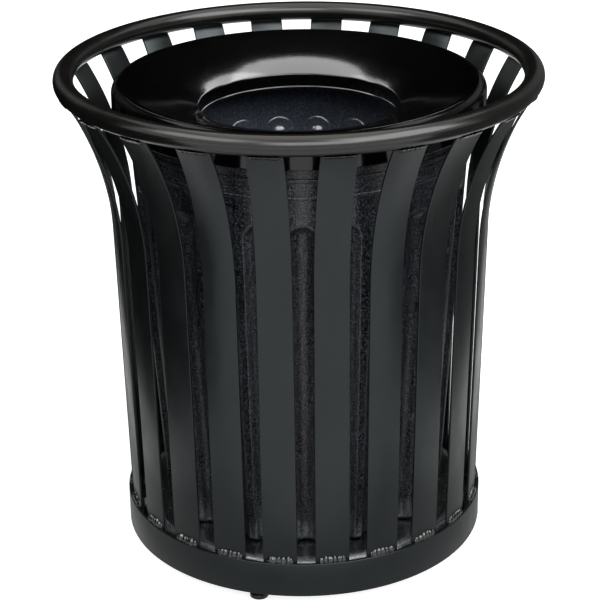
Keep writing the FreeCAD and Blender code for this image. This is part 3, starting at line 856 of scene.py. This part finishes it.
def lid_section():
    # Up the skirt, over the shoulder, down the cone, the funnel and the throat, and back under the sheet
    back = LID_THICKNESS
    cone_turn = 90 + math.degrees(LID_SLOPE)
    shoulder = (LID_CREST, LID_TOP - LID_SHOULDER)
    funnel_reach = FUNNEL_RADIUS * math.sin(LID_SLOPE)
    funnel = (CONE_INNER + funnel_reach, CONE_END - FUNNEL_RADIUS * math.cos(LID_SLOPE))
    lip_slope = math.degrees(math.asin((FUNNEL_WIDTH + funnel_reach) / FUNNEL_RADIUS))
    lip_run = LIP_ROUND * math.tan(math.radians(90 - lip_slope) / 2)
    lip = (LID_OPENING_RADIUS + LIP_ROUND, LID_LIP - lip_run)
    lip_share = math.degrees(lip_run / FUNNEL_RADIUS)
    throat_hem = (LID_OPENING_RADIUS + back / 2, LID_THROAT_END + HEM_RADIUS)
    throat_meet = math.degrees(math.acos(back / 2 / HEM_RADIUS))
    skirt_hem = (LID_RADIUS - HEM_RADIUS, LID_BOTTOM + HEM_RADIUS)
    skirt_meet = math.degrees(math.acos((HEM_RADIUS - back) / HEM_RADIUS))
    under_reach = FUNNEL_WIDTH - back + funnel_reach
    under_slope = math.degrees(math.asin(under_reach / (FUNNEL_RADIUS - back)))
    section = arc(shoulder, LID_SHOULDER, 0, cone_turn, SHOULDER_STEPS)
    section += arc(funnel, FUNNEL_RADIUS, cone_turn, 90 + lip_slope - lip_share, FUNNEL_STEPS)
    section += arc(lip, LIP_ROUND, 90 + lip_slope, 180, LIP_STEPS)[1:]
    section += arc(throat_hem, HEM_RADIUS, 180 - throat_meet, 360 + throat_meet, THROAT_HEM_STEPS)
    section += arc(funnel, FUNNEL_RADIUS - back, 90 + under_slope, cone_turn, FUNNEL_UNDER_STEPS)
    section += arc(shoulder, SHOULDER_UNDER, cone_turn, 0, SHOULDER_UNDER_STEPS)
    section += arc(skirt_hem, HEM_RADIUS, skirt_meet, 360, SKIRT_HEM_STEPS)
    return section


def make_lid():
    make_piece("lid", turned(lid_section(), HOOP_SEGMENTS), LID_COAT, "lid", LID_CREASE)


# Levelling feet


def foot_angle(index):
    return -2 * math.pi / SLAT_COUNT + index * 2 * math.pi / FOOT_COUNT


def hexagon_radius(angle, flats):
    sixth = math.pi / 3
    turn = (angle + sixth / 2) % sixth - sixth / 2
    return flats / 2 / math.cos(turn)


def stud_profile(angle):
    # Pin, chamfered hexagon collar and a rolled thread that climbs round the rod
    flat = hexagon_radius(angle, COLLAR_FLATS)
    face = min(flat, COLLAR_FLATS / 2 * COLLAR_FACE_SHARE)
    eased = min(flat, face + COLLAR_EASE)
    profile = [(AXIS_RING, PIN_END), (PIN_RADIUS - FOOT_EDGE, PIN_END)]
    profile += [(PIN_RADIUS, PIN_END + FOOT_EDGE), (PIN_RADIUS, COLLAR_BOTTOM)]
    profile += [(face - COLLAR_EASE, COLLAR_BOTTOM), (eased, COLLAR_BOTTOM + COLLAR_EDGE)]
    profile += [(flat, COLLAR_BOTTOM + 2 * COLLAR_EDGE), (flat, COLLAR_TOP - 2 * COLLAR_EDGE)]
    profile += [(eased, COLLAR_TOP - COLLAR_EDGE), (face - COLLAR_EASE, COLLAR_TOP)]
    profile.append((STUD_RADIUS - THREAD_DEPTH, COLLAR_TOP))
    rows = int((STUD_TOP - COLLAR_TOP) / THREAD_PITCH * THREAD_ROWS)
    for row in range(1, rows):
        level = COLLAR_TOP + row * THREAD_PITCH / THREAD_ROWS
        phase = (level / THREAD_PITCH - angle / (2 * math.pi)) % 1.0
        depth = THREAD_DEPTH * min(abs(phase - 0.5) * THREAD_STEEPNESS, 1.0)
        chamfer = STUD_RADIUS - max(level - (STUD_TOP - STUD_CHAMFER), 0.0)
        profile.append((min(STUD_RADIUS - depth, chamfer), level))
    profile.append((STUD_RADIUS - STUD_CHAMFER - FOOT_EDGE, STUD_TOP))
    profile.append((AXIS_RING, STUD_TOP))
    return profile


def pad_profile(_angle):
    # Grooved sole, straight side, tapered shoulder and the socket for the pin, alike all round
    socket = PIN_RADIUS + RUNNING_GAP
    side = PAD_RADIUS - PAD_EDGE
    side_top = PAD_SIDE - PAD_EDGE * PAD_EDGE_SHARE
    shoulder = (PAD_TOP_RADIUS - PAD_EDGE, PAD_HEIGHT - PAD_EDGE)
    profile = [(SOLE_RING, 0.0), (GROOVE_INNER, 0.0), (GROOVE_INNER + GROOVE_SLOPE, GROOVE_DEPTH)]
    profile += [(GROOVE_OUTER - GROOVE_SLOPE, GROOVE_DEPTH), (GROOVE_OUTER, 0.0)]
    profile += arc((side, PAD_EDGE), PAD_EDGE, 270, 360, PAD_STEPS)
    profile += arc((side, side_top), PAD_EDGE, 0, PAD_TAPER, PAD_STEPS)
    profile += arc(shoulder, PAD_EDGE, PAD_TAPER, 90, PAD_STEPS)
    profile += [(socket + FOOT_EDGE, PAD_HEIGHT), (socket, PAD_HEIGHT - FOOT_EDGE)]
    profile += [(socket, PAD_SOLE), (AXIS_RING, PAD_SOLE)]
    return profile


def make_feet():
    stud = stacked(stud_profile, STUD_COLUMNS)
    pad = stacked(pad_profile, PAD_COLUMNS)
    for index in range(FOOT_COUNT):
        place = Vector(around(FOOT_CIRCLE, foot_angle(index), 0.0))
        for kind, shape, material, slot in (
            ("stud", stud, ZINC, "zinc_steel"),
            ("pad", pad, NYLON, "foot_nylon"),
        ):
            number = f"{kind}_{index + 1}"
            make_piece(f"foot_{number}", moved(shape, place), material, number, FOOT_CREASE)


# Solids that stay as they are, with their finish and softened edges


def dress_solid(name, material, edge):
    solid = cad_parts[name]
    solid.data.materials.clear()
    solid.data.materials.append(material)
    weld = solid.modifiers.new("join", "WELD")
    weld.merge_threshold = SOLID_JOIN
    if edge:
        soften = solid.modifiers.new("soften", "BEVEL")
        soften.width = edge
        soften.segments = SOLID_EDGE_STEPS
        soften.limit_method = "ANGLE"
        soften.angle_limit = math.radians(SOLID_CREASE)


def dress_solids():
    dress_solid("floor_pan", ZINC, 0.0)
    dress_solid("weld_nuts", ZINC, SOLID_EDGE)
    for index in range(FOOT_COUNT):
        dress_solid(f"foot_bracket_{index + 1}", SLAT_COAT, SOLID_EDGE)


# Floor and world


def stage_plane(name, corners, material):
    mesh = bpy.data.meshes.new(name)
    mesh.from_pydata(corners, [], [tuple(range(len(corners)))])
    mesh.materials.append(material)
    plane = bpy.data.objects.new(name, mesh)
    bpy.context.scene.collection.objects.link(plane)
    return plane


def level_corners(left, right, front, back, level):
    return [(left, front, level), (right, front, level), (right, back, level), (left, back, level)]


def seen_share(tree):
    # 1 for rays that come from the camera or by way of a mirror or glass, 0 for light on its way
    path = add_node(tree, "ShaderNodeLightPath")
    total = path.outputs["Is Camera Ray"]
    for ray in ("Is Glossy Ray", "Is Transmission Ray"):
        most = add_node(tree, "ShaderNodeMath", operation="MAXIMUM")
        tree.links.new(total, most.inputs[0])
        tree.links.new(path.outputs[ray], most.inputs[1])
        total = most.outputs[0]
    return total


def make_floor():
    # Pale paper that is white far off and keeps the shadow near the bin
    material, tree, place = new_material(
        "floor_paper",
        Base_Color=(0.80, 0.80, 0.80, 1.0),
        Roughness=0.9,
        Specular_IOR_Level=0.1,
        Emission_Color=(*WHITE, 1.0),
    )
    near = add_node(tree, "ShaderNodeTexGradient", gradient_type="SPHERICAL")
    spread = stretched(tree, place, (1 / FLOOR_FADE, 1 / FLOOR_FADE, 1.0))
    tree.links.new(spread, near.inputs["Vector"])
    lift = add_node(tree, "ShaderNodeMath", operation="MULTIPLY")
    fade = between(tree, near.outputs["Fac"], 1.0, FLOOR_LIFT, start=0.0, end=0.7)
    tree.links.new(seen_share(tree), lift.inputs[0])
    tree.links.new(fade, lift.inputs[1])
    shader = tree.nodes["Principled BSDF"]
    tree.links.new(lift.outputs[0], shader.inputs["Emission Strength"])
    corners = level_corners(-FLOOR_REACH, FLOOR_REACH, -FLOOR_REACH, FLOOR_REACH, 0.0)
    stage_plane("floor", corners, material)


def make_world():
    world = bpy.data.worlds.new("studio")
    bpy.context.scene.world = world
    world.use_nodes = True
    tree = world.node_tree
    light = tree.nodes["Background"]
    light.inputs["Color"].default_value = (*WHITE, 1.0)
    strength = between(tree, seen_share(tree), WORLD_FILL, 1.0, start=0.0, end=1.0)
    tree.links.new(strength, light.inputs["Strength"])


# Cards and lamps


def lid_group(name, state):
    # A light group that takes in the lid alone, or leaves the lid alone out
    group = bpy.data.collections.new(name)
    group.objects.link(bpy.data.objects["lid_look"])
    for link in group.collection_objects:
        link.light_linking.link_state = state
    return group


def make_card(name, corners, radiance, colour=WHITE):
    # A card beside the set, over it or on the floor, seen only in reflections
    material = new_surface(
        name,
        Base_Color=(0.0, 0.0, 0.0, 1.0),
        Specular_IOR_Level=0.0,
        Emission_Color=(*colour, 1.0),
        Emission_Strength=radiance,
    )
    card = stage_plane(name, corners, material)
    card.visible_camera = False
    card.visible_diffuse = False
    card.visible_shadow = False
    card.visible_transmission = False
    return card


def upright_card(name, start, end, height, radiance):
    # A card that stands on the floor from one place to another
    corners = [(*start, CARD_FOOT), (*end, CARD_FOOT), (*end, height), (*start, height)]
    make_card(name, corners, radiance)


def make_cards():
    for side, aside, radiance, low_radiance in (
        ("left", CARD_LEFT, 0.0, 0.0),
        ("right", CARD_RIGHT, 0.10, 0.12),
    ):
        front, step, far = (aside, CARD_FRONT), (aside, CARD_STEP), (aside, CARD_FAR)
        upright_card(f"{side}_card", step, far, SIDE_CARD_HEIGHT, radiance)
        upright_card(f"{side}_low_card", front, step, LOW_CARD_HEIGHT, low_radiance)
    back_left, back_right = (-BACK_CARD_HALF, CARD_FAR), (BACK_CARD_HALF, CARD_FAR)
    upright_card("back_card", back_left, back_right, BACK_CARD_HEIGHT, radiance=0.0)
    floor = level_corners(
        -FLOOR_CARD_HALF, FLOOR_CARD_HALF, FLOOR_CARD_FRONT, LEVEL_CARD_BACK, FLOOR_CARD_LEVEL
    )
    make_card("floor_card", floor, radiance=1.0)
    # A dimmer square of floor round the bin, seen only in reflections: a painted shadow for the bin's
    # shade on the floor
    near = PAINTED_SHADOW_HALF
    painted_shadow_floor = level_corners(-near, near, -near, near, PAINTED_SHADOW_LEVEL)
    make_card("painted_shadow_floor_card", painted_shadow_floor, radiance=0.46)
    over = level_corners(
        -CEILING_HALF, CEILING_HALF, CEILING_FRONT, LEVEL_CARD_BACK, CEILING_LEVEL
    )
    ceiling = make_card("ceiling_card", over, radiance=1.9, colour=WARM_WHITE)
    ceiling.light_linking.receiver_collection = lid_group("ceiling_group", "EXCLUDE")


def make_lamp(name, place, aim, width, depth, radiance):
    lamp = bpy.data.lights.new(name, "AREA")
    lamp.shape = "RECTANGLE"
    lamp.size = width
    lamp.size_y = depth
    lamp.energy = radiance * math.pi * width * depth
    holder = bpy.data.objects.new(name, lamp)
    bpy.context.scene.collection.objects.link(holder)
    holder.location = place
    holder.rotation_euler = (Vector(aim) - Vector(place)).to_track_quat("-Z", "Y").to_euler()
    holder.visible_camera = False
    return holder


def studio_box(name, azimuth, elevation, distance, width, depth, radiance):
    # A soft box that looks at the bin, its azimuth in degrees from the front towards +X
    turn, rise = math.radians(azimuth), math.radians(elevation)
    level = LIGHT_AIM[2] + distance * math.sin(rise)
    place = around(distance * math.cos(rise), turn, level)
    make_lamp(name, place, LIGHT_AIM, width, depth, radiance)


def mirror_box(name, place, aim, width, depth, radiance, group):
    # A soft box that shows only as a reflection, and only in the pieces of its group
    holder = make_lamp(name, place, aim, width, depth, radiance)
    holder.visible_diffuse = False
    holder.light_linking.receiver_collection = group


def make_lamps():
    studio_box(
        "front_box", azimuth=8, elevation=34, distance=3.3,
        width=2.40, depth=1.50, radiance=4.4,
    )
    studio_box(
        "front_right_box", azimuth=54, elevation=45, distance=2.9,
        width=2.10, depth=2.30, radiance=5.0,
    )
    studio_box(
        "front_left_box", azimuth=-52, elevation=44, distance=2.9,
        width=1.90, depth=1.40, radiance=3.4,
    )
    studio_box(
        "back_right_box", azimuth=140, elevation=22, distance=3.2,
        width=1.20, depth=1.00, radiance=4.0,
    )
    studio_box(
        "back_left_box", azimuth=-140, elevation=22, distance=3.2,
        width=1.20, depth=1.00, radiance=4.0,
    )
    group = lid_group("lid_group", "INCLUDE")
    mirror_box(
        "top_box", place=(0.0, 0.427, 1.168), aim=(0.0, 1.193, 0.525),
        width=1.90, depth=1.10, radiance=5.4, group=group,
    )
    mirror_box(
        "right_top_box", place=(0.477, 1.09, 1.38), aim=(-0.469, 1.389, 1.255),
        width=1.20, depth=0.95, radiance=5.0, group=group,
    )
    mirror_box(
        "left_top_box", place=(-0.477, 1.05, 1.38), aim=(0.469, 1.349, 1.255),
        width=0.90, depth=0.60, radiance=3.6, group=group,
    )


def make_camera():
    camera = bpy.data.cameras.new("camera")
    camera.sensor_width = CAMERA_SENSOR
    camera.lens = CAMERA_LENS
    holder = bpy.data.objects.new("camera", camera)
    bpy.context.scene.collection.objects.link(holder)
    orbit = Matrix.Rotation(CAMERA_ORBIT, 4, "Z")
    stand = Matrix.Translation(CAMERA_STAND)
    yaw = Matrix.Rotation(-CAMERA_YAW, 4, "Z")
    tilt = Matrix.Rotation(math.pi / 2 - CAMERA_PITCH, 4, "X")
    roll = Matrix.Rotation(CAMERA_ROLL, 4, "Z")
    holder.matrix_world = orbit @ stand @ yaw @ tilt @ roll
    bpy.context.scene.camera = holder


make_rim()
make_band()
make_slats()
make_welds()
make_liner()
make_lid()
make_feet()
dress_solids()
make_floor()
make_cards()
make_world()
make_lamps()
make_camera()

bpy.context.scene.view_settings.view_transform = "Standard"
